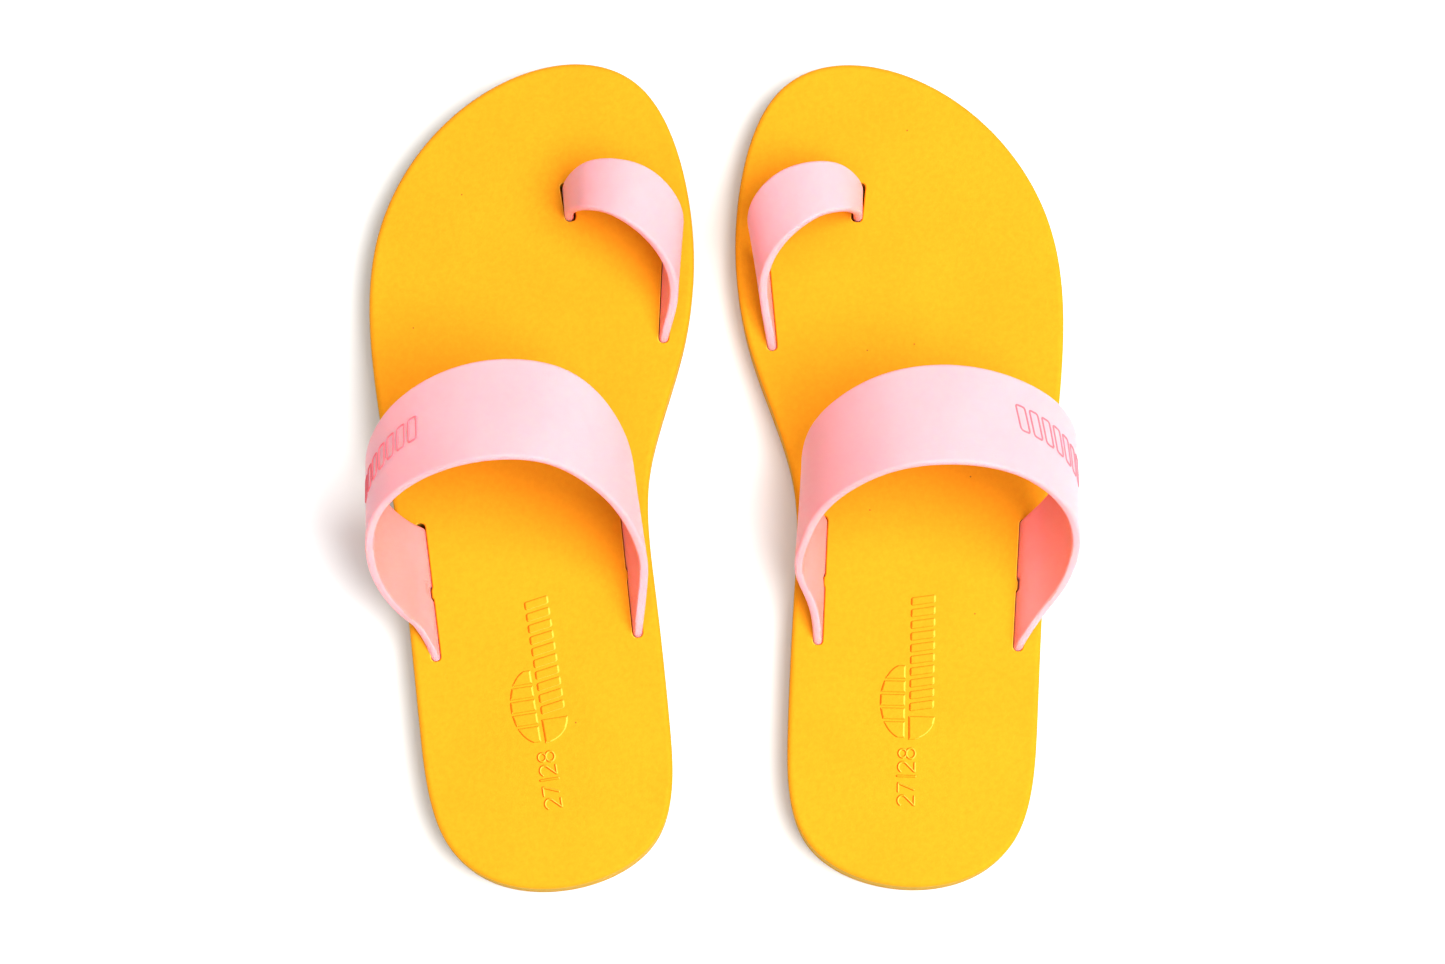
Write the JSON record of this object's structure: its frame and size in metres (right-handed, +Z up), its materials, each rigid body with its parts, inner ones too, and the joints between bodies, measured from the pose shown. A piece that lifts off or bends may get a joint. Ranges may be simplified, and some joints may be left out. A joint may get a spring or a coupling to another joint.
{
  "type": "toe loop sandals",
  "caption": "Pair of flat children's sandals, each a two-layer foam sole with a big-toe loop and an instep strap through slots.",
  "frame": {"origin": "middle of the pair's footprint, at the floor", "axes": "+X towards the right sandal, +Y towards the toes, +Z up"},
  "size_m": [0.1552, 0.1869, 0.0609],
  "materials": {
    "footbed_foam": "matt closed-cell foam",
    "outsole_foam": "matt closed-cell foam",
    "strap_rubber": "satin"
  },
  "bodies": {
    "left_sandal": {"left_footbed": "footbed_foam", "left_outsole": "outsole_foam", "left_toe_strap": "strap_rubber", "left_instep_strap": "strap_rubber"},
    "right_sandal": {"right_footbed": "footbed_foam", "right_outsole": "outsole_foam", "right_toe_strap": "strap_rubber", "right_instep_strap": "strap_rubber"}
  },
  "joints": [
    {"name": "right_sandal_lift", "type": "slide", "parent": "left_sandal", "child": "right_sandal", "axis": [0, 0, 1], "range_m": [0, 0.25]}
  ]
}
